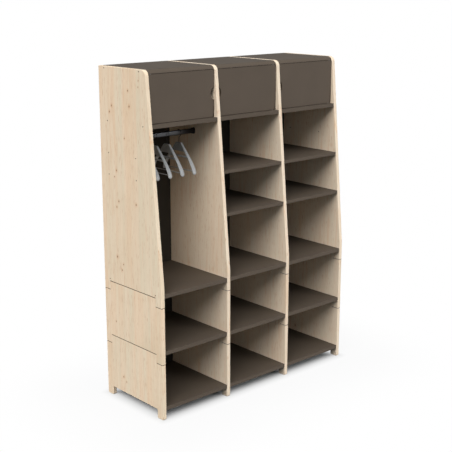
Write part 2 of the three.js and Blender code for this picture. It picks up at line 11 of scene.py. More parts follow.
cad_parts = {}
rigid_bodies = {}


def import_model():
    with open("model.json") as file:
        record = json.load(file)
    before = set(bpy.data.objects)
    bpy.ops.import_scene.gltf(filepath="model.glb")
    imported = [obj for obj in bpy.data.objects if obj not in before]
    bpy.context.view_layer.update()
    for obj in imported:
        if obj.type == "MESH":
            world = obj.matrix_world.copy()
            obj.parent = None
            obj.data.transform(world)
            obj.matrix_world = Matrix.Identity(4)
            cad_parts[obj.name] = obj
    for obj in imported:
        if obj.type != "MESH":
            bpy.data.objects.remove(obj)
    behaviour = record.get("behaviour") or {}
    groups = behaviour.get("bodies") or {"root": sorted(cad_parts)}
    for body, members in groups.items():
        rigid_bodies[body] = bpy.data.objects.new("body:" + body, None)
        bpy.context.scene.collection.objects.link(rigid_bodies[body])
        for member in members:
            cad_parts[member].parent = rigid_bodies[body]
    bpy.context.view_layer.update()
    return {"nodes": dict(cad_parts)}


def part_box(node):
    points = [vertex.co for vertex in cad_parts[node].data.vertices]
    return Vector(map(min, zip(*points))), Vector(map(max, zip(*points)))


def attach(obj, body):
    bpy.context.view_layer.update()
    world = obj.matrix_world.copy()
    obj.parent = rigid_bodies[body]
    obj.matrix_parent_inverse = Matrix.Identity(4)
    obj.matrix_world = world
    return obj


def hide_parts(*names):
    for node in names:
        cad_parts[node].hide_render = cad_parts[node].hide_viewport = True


bpy.ops.object.select_all(action="SELECT")
bpy.ops.object.delete()
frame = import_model()

# Uprights
# Four panels glued up from spruce strips and planed, with every outer edge rounded over by a router.
# Each is stacked from three pieces: a lower piece's tab fills the recess between the legs above it.
upright_count = 4
upright_pitch = 0.5
upright_thickness = 0.024
stack_names = ["bottom", "middle", "top"]
top_level = len(stack_names) - 1
stack_rise = 0.342
foot_low, upright_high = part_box("upright_1_bottom")[0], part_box("upright_1_top")[1]
upright_front, upright_back = foot_low.y, upright_high.y
upright_top = upright_high.z
leg_width = 0.055
leg_height = 0.055
foot_rounding = 0.009
leg_rounding = 0.004
tab_rounding = 0.005
top_set_back = 0.112
slope_start = 0.8
slope_softness = 0.42
top_front_rounding = 0.035
top_rear_rounding = 0.006
roundover = 0.0025
seam_gap = 0.0003
tab_gap = 0.0026
seam_roundover = 0.0006
leg_end_gap = 0.002
leg_end_relief = 0.007
cut_margin = 0.01
groove_foot = 0.057
groove_front, groove_back = 0.2577, 0.2663
groove_depth = 0.006
screw_hole_radius = 0.003
screw_hole_depth = 0.004


def finish_place(piece):
    """Puts the piece's origin at the frame's origin, with its place and size in its mesh."""
    bpy.ops.object.select_all(action="DESELECT")
    piece.select_set(True)
    bpy.context.view_layer.objects.active = piece
    bpy.ops.object.transform_apply(location=True, rotation=True, scale=True)
    return piece


def block(name, low, high):
    """A squared block between two corners."""
    bpy.ops.object.select_all(action="DESELECT")
    low, high = Vector(low), Vector(high)
    bpy.ops.mesh.primitive_cube_add(size=1, location=(low + high) / 2)
    piece = bpy.context.object
    piece.scale = high - low
    piece.name = name
    return finish_place(piece)


def start_edit(piece):
    bpy.ops.object.select_all(action="DESELECT")
    piece.select_set(True)
    bpy.context.view_layer.objects.active = piece
    bpy.ops.object.mode_set(mode="EDIT")
    bpy.ops.mesh.select_all(action="SELECT")


def end_edit():
    bpy.ops.object.mode_set(mode="OBJECT")


def choose(kind, test):
    """Selects corners by their place, edges by their ends, or faces by their middle and normal."""
    bpy.ops.mesh.select_all(action="DESELECT")
    bpy.ops.mesh.select_mode(type={"verts": "VERT", "edges": "EDGE", "faces": "FACE"}[kind])
    mesh = bmesh.from_edit_mesh(bpy.context.edit_object.data)
    for part in list(getattr(mesh, kind)):
        if kind == "verts":
            hit = test(part.co)
        elif kind == "edges":
            hit = test(part.verts[0].co, part.verts[1].co)
        else:
            hit = test(part.calc_center_median(), part.normal)
        if hit:
            part.select_set(True)
    mesh.select_flush_mode()
    bmesh.update_edit_mesh(bpy.context.edit_object.data)


def slice_at(point, normal, clear_outer=False):
    bpy.ops.mesh.select_all(action="SELECT")
    bpy.ops.mesh.bisect(plane_co=point, plane_no=normal, clear_outer=clear_outer)


def arch(name, left, right, front, back, low, high, legs, recess_top, slope=None):
    """The flat outline of an upright, seen from the side; it stays in edit mode for its corners."""
    bpy.ops.object.select_all(action="DESELECT")
    bpy.ops.mesh.primitive_plane_add(size=1, location=(left, (front + back) / 2, (low + high) / 2),
                                     rotation=(0, math.radians(90), 0))
    bpy.context.object.scale = (high - low, back - front, 1)
    piece = finish_place(bpy.context.object)
    piece.name = name
    start_edit(piece)
    for y in legs:
        slice_at((left, y, low), (0, 1, 0))
    slice_at((left, front, recess_top), (0, 0, 1))
    choose("faces", lambda at, normal: legs[0] < at.y < legs[1] and at.z < recess_top)
    bpy.ops.mesh.delete(type="FACE")
    if slope:
        start, end = Vector(slope[0]), Vector(slope[1])
        slice_at(start, (end - start).cross((-1, 0, 0)).normalized(), clear_outer=True)
    bpy.ops.mesh.select_all(action="SELECT")
    bpy.ops.mesh.dissolve_limited(angle_limit=math.radians(1))
    return piece


def round_corner(y, z, radius, steps, opening=math.pi / 2):
    """Rounds one corner of a sheet; its edges meet at the opening angle."""
    near = 0.0002
    choose("verts", lambda at: abs(at.y - y) < near and abs(at.z - z) < near)
    bpy.ops.mesh.bevel(affect="VERTICES", offset=radius / math.tan(opening / 2), segments=steps)


def thicken(along):
    bpy.ops.mesh.select_all(action="SELECT")
    bpy.ops.mesh.extrude_region_move(TRANSFORM_OT_translate={"value": along})
    bpy.ops.mesh.select_all(action="SELECT")
    bpy.ops.mesh.normals_make_consistent(inside=False)


def apply_modifier(piece, kind, **settings):
    bpy.ops.object.select_all(action="DESELECT")
    piece.select_set(True)
    bpy.context.view_layer.objects.active = piece
    modifier = piece.modifiers.new("work", kind)
    for name, value in settings.items():
        setattr(modifier, name, value)
    bpy.ops.object.modifier_apply(modifier=modifier.name)


def copy_of(piece, name):
    twin = piece.copy()
    twin.data = piece.data.copy()
    twin.name = name
    bpy.context.collection.objects.link(twin)
    return twin


def carve(piece, tool, operation):
    """Cuts with a tool, or keeps what the tool covers."""
    apply_modifier(piece, "BOOLEAN", object=tool, operation=operation, solver="EXACT")


def ease_edges(test, amount, steps=2):
    choose("edges", test)
    bpy.ops.mesh.bevel(affect="EDGES", offset=amount, segments=steps, clamp_overlap=True)


def smooth_by_angle(piece, angle=30):
    """Shades rounded edges smooth and keeps the flat faces between them flat."""
    bpy.ops.object.select_all(action="DESELECT")
    piece.select_set(True)
    bpy.context.view_layer.objects.active = piece
    bpy.ops.object.shade_smooth_by_angle(angle=math.radians(angle))
    apply_modifier(piece, "WEIGHTED_NORMAL", keep_sharp=True, weight=100)


def discard(*tools):
    for tool in tools:
        bpy.data.objects.remove(tool)


def whole_upright(left):
    """An upright before it is cut into its three pieces."""
    right = left + upright_thickness
    slope_foot = (left, upright_front, slope_start)
    slope_head = (left, upright_front + top_set_back, upright_top)
    legs = [upright_front + leg_width, upright_back - leg_width]
    piece = arch("upright", left, right, upright_front, upright_back, 0, upright_top, legs, leg_height,
                 [slope_foot, slope_head])
    lean = math.atan2(top_set_back, upright_top - slope_start)
    round_corner(slope_foot[1], slope_foot[2], slope_softness, steps=16, opening=math.pi - lean)
    round_corner(slope_head[1], slope_head[2], top_front_rounding, steps=12, opening=math.pi / 2 + lean)
    round_corner(upright_back, upright_top, top_rear_rounding, steps=6)
    for y in (upright_front, *legs, upright_back):
        round_corner(y, 0, foot_rounding, steps=6)
    for y in legs:
        round_corner(y, leg_height, leg_rounding, steps=4)
    thicken((upright_thickness, 0, 0))
    near = 0.00001
    ease_edges(lambda a, b: abs(a.x - b.x) < near, roundover, steps=4)
    end_edit()
    return piece


def seam_tool(level, left, gap, rounding):
    """Everything above one seam; with a gap, the tool that cuts the lower piece clear of the upper one."""
    seam = level * stack_rise
    low = seam - gap
    recess_top = seam + leg_height - (tab_gap if gap else 0)
    legs = [upright_front + leg_width + gap, upright_back - leg_width - gap]
    piece = arch("seam tool", left - cut_margin, left + upright_thickness + cut_margin,
                 upright_front - cut_margin, upright_back + cut_margin, low, upright_top + cut_margin,
                 legs, recess_top)
    for y in legs:
        round_corner(y, recess_top, rounding, steps=5)
    thicken((upright_thickness + 2 * cut_margin, 0, 0))
    end_edit()
    return piece


def relieve_leg_ends(piece, left, seam):
    """Cuts the rim of both leg ends back, so that a thin dark line shows all round above the shoulders."""
    legs = [(upright_front, upright_front + leg_width), (upright_back - leg_width, upright_back)]
    for front, back in legs:
        low = (left - cut_margin, front - cut_margin, seam - cut_margin)
        high = (left + upright_thickness + cut_margin, back + cut_margin, seam + leg_end_gap)
        rim = block("leg end rim", low, high)
        core = block("leg end core", (left + leg_end_relief, front + leg_end_relief, seam - 2 * cut_margin),
                     (left + upright_thickness - leg_end_relief, back - leg_end_relief, seam + cut_margin))
        carve(rim, core, "DIFFERENCE")
        carve(piece, rim, "DIFFERENCE")
        discard(rim, core)


def round_seams(piece, left, level):
    """Rounds the edges where a piece meets the ones above and below it, on both of its broad faces."""
    near = 0.0001
    below_shoulder = 0.001
    right = left + upright_thickness
    legs = [upright_front + leg_width, upright_back - leg_width]
    seams = [level * stack_rise] * (level > 0) + [(level + 1) * stack_rise] * (level < top_level)
    for seam in seams:

        def on_seam(a, b):
            low, high = min(a.z, b.z), max(a.z, b.z)
            on_face = abs(a.x - b.x) < near and min(abs(a.x - left), abs(a.x - right)) < near
            level_edge = high - low < near
            shoulder = level_edge and seam - seam_gap - near < low < seam + leg_end_gap + near
            front, back = min(a.y, b.y), max(a.y, b.y)
            between_legs = legs[0] - leg_rounding < front and back < legs[1] + leg_rounding
            tab_edge = between_legs and seam - below_shoulder < low and high < seam + leg_height + near
            return on_face and (shoulder or tab_edge)

        start_edit(piece)
        ease_edges(on_seam, seam_roundover, steps=3)
        end_edit()


def stacked_piece(index, level):
    """One of the three pieces of an upright, with its seams and grooves."""
    left = foot_low.x + index * upright_pitch
    right = left + upright_thickness
    piece = whole_upright(left)
    if level > 0:
        tool = seam_tool(level, left, 0, leg_rounding)
        carve(piece, tool, "INTERSECT")
        discard(tool)
        relieve_leg_ends(piece, left, level * stack_rise)
    if level < top_level:
        tool = seam_tool(level + 1, left, seam_gap, tab_rounding)
        carve(piece, tool, "DIFFERENCE")
        discard(tool)
    groove_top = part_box("back_panel_1_top")[1].z
    for face in [left] * (index > 0) + [right] * (index < upright_count - 1):
        tool = block("groove tool", (face - groove_depth, groove_front, groove_foot),
                     (face + groove_depth, groove_back, groove_top))
        carve(piece, tool, "DIFFERENCE")
        discard(tool)
    round_seams(piece, left, level)
    return piece


# Each screw by its distance behind the front line and its height.
screw_places = [(0.055, 0.752), (0.495, 0.752), (0.211, 1.3933), (0.473, 1.3933), (0.211, 1.519),
                (0.473, 1.519), (0.1386, 1.7055), (0.473, 1.7055), (0.167, 2.0035), (0.495, 2.0035)]


def joined(pieces):
    """Makes one object of several; the last one lends its name and place."""
    bpy.ops.object.select_all(action="DESELECT")
    for piece in pieces:
        piece.select_set(True)
    bpy.context.view_layer.objects.active = pieces[-1]
    bpy.ops.object.join()
    return bpy.context.object


def screw_tool(index):
    """The drills for the sunk screws of an outer side."""
    outer_face = foot_low.x if index == 0 else -foot_low.x
    tools = []
    for y, z in screw_places:
        bpy.ops.object.select_all(action="DESELECT")
        bpy.ops.mesh.primitive_cylinder_add(
            vertices=24, radius=screw_hole_radius, depth=2 * screw_hole_depth,
            location=(outer_face, upright_front + y, z), rotation=(0, math.radians(90), 0))
        tools.append(finish_place(bpy.context.object))
    return joined(tools)


class Socket:
    """One output of a material's nodes, with arithmetic that adds Math nodes."""

    def __init__(self, finish, output):
        self.finish = finish
        self.output = output

    def calculate(self, operation, *values):
        return self.finish.node("ShaderNodeMath", {"operation": operation}, *values)

    def __add__(self, other):
        return self.calculate("ADD", self, other)

    __radd__ = __add__

    def __mul__(self, other):
        return self.calculate("MULTIPLY", self, other)

    __rmul__ = __mul__

    def __sub__(self, other):
        return self.calculate("SUBTRACT", self, other)

    def __rsub__(self, other):
        return self.calculate("SUBTRACT", other, self)

    def __truediv__(self, other):
        return self.calculate("DIVIDE", self, other)

    def size(self):
        """The value without its sign."""
        return self.calculate("ABSOLUTE", self)

    def power(self, other):
        return self.calculate("POWER", self, other)

    def floor(self):
        return self.calculate("FLOOR", self)

    def at_most(self, other):
        return self.calculate("MINIMUM", self, other)

    def at_least(self, other):
        return self.calculate("MAXIMUM", self, other)

    def over(self, low, high):
        """0 below low and 1 above high, with a smooth way between."""
        settings = {"interpolation_type": "SMOOTHSTEP"}
        return self.finish.node("ShaderNodeMapRange", settings, self, low, high, 0.0, 1.0)


class Finish:
    """A material in the making."""

    def __init__(self, name):
        self.material = bpy.data.materials.new(name)
        self.material.use_nodes = True
        self.tree = self.material.node_tree
        self.tree.nodes.clear()

    def feed(self, place, value):
        """Links a socket to another node's output, or sets it to a plain value."""
        if isinstance(value, Socket):
            self.tree.links.new(value.output, place)
        else:
            place.default_value = value

    def add(self, kind, settings, *inputs, **named):
        made = self.tree.nodes.new(kind)
        for name, value in settings.items():
            setattr(made, name, value)
        places = [s for s in made.inputs if s.enabled]
        pairs = list(zip(places, inputs)) + [(made.inputs[name], value) for name, value in named.items()]
        for place, value in pairs:
            self.feed(place, value)
        return made

    def node(self, kind, settings, *inputs, output=0, **named):
        made = self.add(kind, settings, *inputs, **named)
        shown = [s for s in made.outputs if s.enabled]
        return Socket(self, made.outputs[output] if isinstance(output, str) else shown[output])

    def place(self):
        return self.node("ShaderNodeTexCoord", {}, output="Object")

    def parts(self, vector):
        made = self.add("ShaderNodeSeparateXYZ", {}, vector)
        return [Socket(self, out) for out in made.outputs]

    def vector(self, x, y, z):
        return self.node("ShaderNodeCombineXYZ", {}, x, y, z)

    def noise(self, vector, scale, detail):
        return self.node("ShaderNodeTexNoise", {}, Vector=vector, Scale=scale, Detail=detail, output="Fac")

    def blend(self, share, first, second):
        """Mixes two colours; the node keeps its share, first and second colour at 0, 6 and 7."""
        made = self.add("ShaderNodeMix", {"data_type": "RGBA"})
        for number, value in ((0, share), (6, first), (7, second)):
            self.feed(made.inputs[number], value)
        return Socket(self, made.outputs[2])

    def bump(self, height, strength, distance):
        return self.node("ShaderNodeBump", {}, Strength=strength, Distance=distance, Height=height)

    def surface(self, **sockets):
        named = {name.replace("_", " "): value for name, value in sockets.items()}
        shader = self.node("ShaderNodeBsdfPrincipled", {}, **named)
        self.add("ShaderNodeOutputMaterial", {}, Surface=shader)
        return self.material


def shown_as(red, green, blue):
    """A colour from its values on screen, 0 to 255."""
    levels = [value / 255 for value in (red, green, blue)]
    return [v / 12.92 if v <= 0.04045 else ((v + 0.055) / 1.055) ** 2.4 for v in levels] + [1.0]


rosy_band = shown_as(228, 202, 173)
straw_band = shown_as(223, 207, 182)
pale_strip = shown_as(231, 212, 188)
grey_cloud = shown_as(205, 188, 160)
# Paler, greyer wood for the uprights right of the leftmost, a painted correction against the warm shade
# inside the columns.
inner_wood = shown_as(226, 211, 192)
rosy_streak = shown_as(219, 184, 150)
brown_fleck = shown_as(196, 156, 122)
long_fibre = shown_as(204, 172, 142)
fine_fibre = shown_as(190, 160, 126)
knot_rim = shown_as(206, 158, 118)
knot_heart = shown_as(104, 68, 42)
# Painted shade: the dark brown laid on the walls of the seam gaps and inside the screw holes.
painted_gap_shade = shown_as(66, 46, 30)
knot_height = 1.25
shade_margin = 0.0008
shade_edge = 0.0002
shoulder_edge = 0.001
bore_shade_start, bore_shade_end = 0.0003, 0.001

# Each knot of the outer left side by its distance behind the front line, its height and its radius.
knots = [(0.173, 1.9535, 0.0035), (0.177, 1.919, 0.003), (0.272, 1.892, 0.005), (0.262, 1.805, 0.006),
         (0.431, 1.796, 0.0055), (0.077, 1.797, 0.004), (0.452, 1.759, 0.005), (0.0706, 1.627, 0.0045),
         (0.315, 1.62, 0.004), (0.399, 1.425, 0.005), (0.420, 1.385, 0.004), (0.217, 1.252, 0.0055),
         (0.384, 1.245, 0.0055), (0.405, 1.208, 0.0045), (0.413, 0.906, 0.0065), (0.354, 0.870, 0.004),
         (0.3685, 0.833, 0.005), (0.345, 0.372, 0.004), (0.237, 0.364, 0.0035), (0.384, 0.153, 0.005),
         (0.355, 0.1285, 0.004), (0.445, 0.494, 0.004)]


def pale_softwood(level):
    """Spruce panel: soft upright bands, rosier streaks, fine grain and knots, with painted shade in the
    seam gaps and screw holes.
    """
    wood = Finish(f"pale softwood {stack_names[level]}")
    x, y, z = wood.parts(wood.place())
    # The uprights are numbered from 0 at the left, so that each gets its own pattern.
    panel = ((x - foot_low.x) / upright_pitch + 0.4).floor()
    seed = panel * 7.3 + level * 31.7
    waver = wood.noise(wood.vector(y * 2.5, z * 1.3, seed), 1.0, 2.0) * 0.035
    across = y + x * 0.6 + waver

    def streaks(width, length, start, detail):
        return wood.noise(wood.vector(across / width + start, z / length + seed, seed), 1.0, detail)

    def within(value, low, high, edge):
        return value.over(low - edge, low) * (1 - value.over(high, high + edge))

    def distance(first, second):
        return wood.node("ShaderNodeVectorMath", {"operation": "DISTANCE"}, first, second, output="Value")

    bands = streaks(width=0.07, length=2.4, start=3.0, detail=1.0)
    strips = streaks(width=0.021, length=1.1, start=61.0, detail=2.0)
    rosy = streaks(width=0.012, length=0.26, start=11.0, detail=3.0)
    flecks = streaks(width=0.005, length=0.05, start=77.0, detail=2.0)
    fibres = streaks(width=0.006, length=0.12, start=23.0, detail=3.0)
    fine = streaks(width=0.0015, length=0.05, start=41.0, detail=2.0)
    cloud = wood.noise(wood.vector(y * 4, z * 2.6, seed + 5), 1.0, 2.0)
    cloudiness = 0.5 if stack_names[level] == "middle" else 0.2
    leftmost = (0.5 - panel).over(0.0, 0.1)
    colour = wood.blend(bands.over(0.36, 0.64), rosy_band, straw_band)
    colour = wood.blend(strips.over(0.42, 0.62) * 0.6, colour, pale_strip)
    colour = wood.blend(cloud.over(0.45, 0.7) * cloudiness, colour, grey_cloud)
    # Painted correction for light: the uprights right of the leftmost get a paler, greyer tone, so that the
    # shade inside the columns looks less orange.
    colour = wood.blend((1 - leftmost) * 0.6, colour, inner_wood)
    colour = wood.blend(rosy.over(0.52, 0.74) * 0.6, colour, rosy_streak)
    colour = wood.blend(flecks.over(0.58, 0.76) * 0.75, colour, brown_fleck)
    colour = wood.blend(fibres.over(0.45, 0.75) * 0.2, colour, long_fibre)
    colour = wood.blend(fine.over(0.4, 0.75) * 0.12, colour, fine_fibre)

    dark = None
    halo = None
    flattened = wood.vector(0.0, y, z / knot_height)
    piece_top = (level + 1) * stack_rise if level < top_level else upright_top
    own_knots = [knot for knot in knots if level * stack_rise < knot[1] < piece_top]
    for knot_y, knot_z, radius in own_knots:
        reach = distance(flattened, (0.0, upright_front + knot_y, knot_z / knot_height))
        core = 1 - reach.over(radius * 0.45, radius)
        ring = 1 - reach.over(radius * 0.8, radius * 3.2)
        dark = core if dark is None else dark.at_least(core)
        halo = ring if halo is None else halo.at_least(ring)
    spots = wood.add("ShaderNodeTexVoronoi", {"voronoi_dimensions": "3D"},
                     Vector=wood.vector(y * 7, z * 5, seed), Scale=1.0, Randomness=1.0)
    spot = wood.parts(Socket(wood, spots.outputs["Color"]))
    found = spot[0].over(0.45, 0.47) * (1 - leftmost)
    nearness = Socket(wood, spots.outputs["Distance"])
    dark = (dark * leftmost).at_least((1 - nearness.over(0.018, 0.034)) * found)
    halo = (halo * leftmost).at_least((1 - nearness.over(0.03, 0.12)) * found)
    colour = wood.blend(halo * 0.4, colour, knot_rim)
    colour = wood.blend(dark * 0.8, colour, knot_heart)

    # Painted shade: the walls of the gaps at each seam, over the tabs and at the leg ends, are darkened to
    # stand in for the shade in the gaps.
    painted_shade_mask = None
    from_middle = (y - (upright_front + upright_back) / 2).size()
    tab_half = (upright_back - upright_front) / 2 - leg_width
    on_shoulder = from_middle.over(tab_half, tab_half + shoulder_edge)
    for seam in (stack_rise, 2 * stack_rise):
        leg_top, tab_top = seam + leg_end_gap, seam + leg_height
        leg_end = within(z, seam - shade_margin, leg_top + shade_margin, shade_edge) * on_shoulder
        tab_end = within(z, tab_top - tab_gap - shade_margin, tab_top + shade_margin, shade_edge)
        both = leg_end.at_least(tab_end * (1 - on_shoulder))
        painted_shade_mask = both if painted_shade_mask is None else painted_shade_mask.at_least(both)
    if level == top_level:
        flat = wood.vector(0.0, y, z)
        outermost = (panel - (upright_count - 1) / 2).size().over(1.0, 1.2)
        # Painted shade: a dark ring just inside each screw hole in the two outer sides.
        for hole_y, hole_z in screw_places:
            reach = distance(flat, (0.0, upright_front + hole_y, hole_z)) - screw_hole_radius
            bore = (1 - reach.over(bore_shade_start, bore_shade_end)) * outermost
            painted_shade_mask = painted_shade_mask.at_least(bore)
    colour = wood.blend(painted_shade_mask * 0.92, colour, painted_gap_shade)
    grain = wood.bump(fine + fibres * 0.5, 0.12, 0.0005)
    return wood.surface(Base_Color=colour, Roughness=0.52 + fine * 0.16, Normal=grain, IOR=1.4)


woods = [pale_softwood(level) for level in range(len(stack_names))]
for index in range(upright_count):
    for level, stack in enumerate(stack_names):
        node = f"upright_{index + 1}_{stack}"
        piece = stacked_piece(index, level)
        piece.name = f"{node}_panel"
        if stack == "top" and index in (0, upright_count - 1):
            drills = screw_tool(index)
            carve(piece, drills, "DIFFERENCE")
            discard(drills)
        smooth_by_angle(piece)
        piece.data.materials.append(woods[level])
        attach(piece, "frame")
        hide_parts(node)

# Sunk screws
# Blackened steel screws with a socket for a hexagonal key, each sunk in its hole in an outer side.
# They hold the ends of the boards, and two of them stand in a free pair of shelf holes.
head_radius = 0.0027
head_depth = 0.0015
head_rounding = 0.0004
key_radius = 0.0013
key_depth = 0.0008


def blackened_steel():
    steel = Finish("blackened steel")
    rub = steel.noise(steel.place(), 900.0, 3.0)
    colour = steel.blend(rub.over(0.5, 0.8), shown_as(24, 21, 19), shown_as(48, 44, 41))
    return steel.surface(Base_Color=colour, Roughness=0.5 + rub * 0.2)


screw_steel = blackened_steel()
for side, outer_face, inward in (("left", foot_low.x, 1), ("right", -foot_low.x, -1)):
    heads = []
    face_x = outer_face + inward * (screw_hole_depth - head_depth)
    near = 0.0001
    for y, z in screw_places:
        bpy.ops.object.select_all(action="DESELECT")
        bpy.ops.mesh.primitive_cylinder_add(
            vertices=24, radius=head_radius, depth=head_depth,
            location=(outer_face + inward * (screw_hole_depth - head_depth / 2), upright_front + y, z),
            rotation=(0, math.radians(90), 0))
        head = finish_place(bpy.context.object)
        start_edit(head)
        choose("faces", lambda at, normal: abs(at.x - face_x) < near)
        bpy.ops.mesh.bevel(affect="EDGES", offset=head_rounding, segments=2)
        choose("faces", lambda at, normal: abs(at.x - face_x) < near and abs(normal.x) > 0.9)
        bpy.ops.mesh.inset(thickness=head_radius - key_radius - head_rounding)
        bpy.ops.mesh.extrude_region_move(TRANSFORM_OT_translate={"value": (inward * key_depth, 0, 0)})
        end_edit()
        heads.append(head)
    screws = joined(heads)
    screws.name = f"sunk_screws_{side}"
    smooth_by_angle(screws)
    screws.data.materials.append(screw_steel)
    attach(screws, "frame")

# Floors, shelves and door shelves
# Board 22 or 18 mm thick, sprayed all over in a dark grey-brown and doweled into the uprights.
# The edges are only just taken off, so that the paint doesn't chip; the dowels are left out here.
board_arris = 0.0008
board_dowel = 0.008


def dark_paint(name, shade, gloss):
    """Sprayed grey-brown paint with a faint orange-peel surface."""
    paint = Finish(name)
    place = paint.place()
    cloud = paint.noise(place, 5.0, 2.0)
    peel = paint.noise(place, 700.0, 2.0)
    speck = paint.noise(place, 160.0, 3.0)
    colour = paint.blend(cloud.over(0.3, 0.7), [v * 0.96 for v in shade[:3]] + [1.0],
                         [v * 1.04 for v in shade[:3]] + [1.0])
    skin = paint.bump(peel, 0.08, 0.0003)
    return paint.surface(Base_Color=colour, Roughness=gloss + speck * 0.1, Normal=skin, IOR=1.33)


board_paint = dark_paint("board paint", shown_as(81, 71, 61), 0.7)
board_nodes = [f"floor_{column}_{stack}" for column in (1, 2, 3) for stack in stack_names]
board_nodes += [f"shelf_{column}_{step}" for column in (2, 3) for step in ("lower", "upper")]
board_nodes += [f"door_shelf_{column}" for column in (1, 2, 3)]
for node in board_nodes:
    low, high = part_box(node)
    low.x += board_dowel
    high.x -= board_dowel
    board = block(f"{node}_board", low, high)
    start_edit(board)
    ease_edges(lambda a, b: True, board_arris)
    end_edit()
    smooth_by_angle(board)
    board.data.materials.append(board_paint)
    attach(board, "frame")
    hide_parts(node)

# Top boards
# The same painted board, with a front edge turned to the radius of the uprights' top corner.
# Under each hangs the catch that the door's free edge closes against.
top_board_thickness = 0.022
top_front_radius = 0.033
blank_spare = 0.01
catch_width, catch_depth, catch_height = 0.036, 0.012, 0.009
catch_from_edge = 0.01
catch_rounding = 0.0015
catch_door_gap = 0.0003
near = 0.001

catch_paint = dark_paint("catch paint", shown_as(66, 60, 54), 0.6)
for column in (1, 2, 3):
    node = f"top_board_{column}"
    low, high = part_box(node)
    low.x += board_dowel
    high.x -= board_dowel
    catch_low = low.z
    low.z = high.z - top_front_radius - blank_spare
    board = block(f"{node}_board", low, high)
    start_edit(board)
    ease_edges(lambda a, b: max(a.y, b.y) < low.y + near and min(a.z, b.z) > high.z - near,
               top_front_radius, steps=12)
    bpy.ops.mesh.select_all(action="SELECT")
    bpy.ops.mesh.bisect(plane_co=(0, 0, high.z - top_board_thickness), plane_no=(0, 0, -1),
                        clear_outer=True, use_fill=True)
    end_edit()
    apply_modifier(board, "BEVEL", width=board_arris, segments=2, limit_method="ANGLE",
                   angle_limit=math.radians(40))
    smooth_by_angle(board)
    board.data.materials.append(board_paint)
    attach(board, "frame")
    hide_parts(node)

    door_low, door_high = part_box(f"door_{column}")
    catch_left = door_low.x + catch_from_edge
    if column == 1:
        catch_left = door_high.x - catch_from_edge - catch_width
    catch_front = door_high.y + catch_door_gap
    catch = block(f"door_catch_{column}", (catch_left, catch_front, catch_low),
                  (catch_left + catch_width, catch_front + catch_depth, catch_low + catch_height))
    start_edit(catch)
    ease_edges(lambda a, b: min(a.z, b.z) < catch_low + near, catch_rounding, steps=3)
    end_edit()
    smooth_by_angle(catch)
    catch.data.materials.append(catch_paint)
    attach(catch, "frame")

# Doors
# Painted board 18 mm thick with softened edges and a round notch in the free edge for the fingers.
# Each turns on steel pins in the boards above and below; the left one is hinged on its left.
door_arris = 0.0008
notch_height = 0.072
notch_depth = 0.026
notch_cutter_length = 0.1
door_paint = dark_paint("door paint", shown_as(81, 70.5, 60.5), 0.66)
notch_radius = (notch_height ** 2 / 4 + notch_depth ** 2) / (2 * notch_depth)
for column, body in ((1, "left_door"), (2, "middle_door"), (3, "right_door")):
    node = f"door_{column}"
    low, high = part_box(node)
    middle = (low + high) / 2
    door = block(f"{node}_panel", low, high)
    free, inward = (high.x, -1) if column == 1 else (low.x, 1)
    bpy.ops.object.select_all(action="DESELECT")
    bpy.ops.mesh.primitive_cylinder_add(
        vertices=96, radius=notch_radius, depth=notch_cutter_length,
        location=(free + inward * (notch_depth - notch_radius), middle.y, middle.z),
        rotation=(math.radians(90), 0, 0))
    tool = finish_place(bpy.context.object)
    carve(door, tool, "DIFFERENCE")
    discard(tool)
    apply_modifier(door, "BEVEL", width=door_arris, segments=3, limit_method="ANGLE",
                   angle_limit=math.radians(30))
    smooth_by_angle(door)
    door.data.materials.append(door_paint)
    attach(door, body)
    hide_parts(node)

# Door pins
# Turned and zinc-plated steel pins with a collar that keeps door and board apart.


def zinc():
    metal = Finish("zinc")
    x, y, z = metal.parts(metal.place())
    turning = metal.noise(metal.vector(x * 20, y * 20, z * 4000), 1.0, 2.0)
    return metal.surface(Base_Color=shown_as(178, 180, 182), Metallic=1.0, Roughness=0.3 + turning * 0.15)


zinc_finish = zinc()
for column in (1, 2, 3):
    for end in ("lower", "upper"):
        pin = frame["nodes"][f"pivot_{column}_{end}"]
        pin.data.materials.clear()
        pin.data.materials.append(zinc_finish)

# Back panels
# Thin dark board, slid into grooves in the uprights from above and split where the uprights stack.
back_paint = dark_paint("back paint", shown_as(60, 55, 48), 0.75)
for column in (1, 2, 3):
    for stack in stack_names:
        back = frame["nodes"][f"back_panel_{column}_{stack}"]
        back.data.materials.clear()
        back.data.materials.append(back_paint)

# Clothes rail
# An oval steel tube in a dark satin coating, held at each end in a socket screwed to the upright.
rail_low, rail_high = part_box("clothes_rail")
rail_wall = 0.0015
oval_steps = 48


def dark_satin():
    metal = Finish("dark satin coating")
    x, y, z = metal.parts(metal.place())
    drawn = metal.noise(metal.vector(x * 3, y * 900, z * 900), 1.0, 2.0)
    return metal.surface(Base_Color=shown_as(60, 61, 63), Metallic=1.0, Roughness=0.3 + drawn * 0.12)


def oval(name, x, margin):
    """The rail's upright oval as a closed line, grown by a margin; it stays in edit mode."""
    near = 0.00001
    centre_y, centre_z = (rail_low.y + rail_high.y) / 2, (rail_low.z + rail_high.z) / 2
    radius = (rail_high.y - rail_low.y) / 2
    stretch = (rail_high.z - rail_low.z) / 2 - radius
    bpy.ops.object.select_all(action="DESELECT")
    bpy.ops.mesh.primitive_circle_add(
        vertices=oval_steps, radius=radius + margin, fill_type="NOTHING",
        location=(x, centre_y, centre_z), rotation=(0, math.radians(90), 0))
    piece = finish_place(bpy.context.object)
    piece.name = name
    start_edit(piece)
    for side in (1, -1):
        choose("verts", lambda at: side * (at.z - centre_z) > near)
        bpy.ops.transform.translate(value=(0, 0, side * stretch))
    bpy.ops.mesh.select_all(action="SELECT")
    return piece


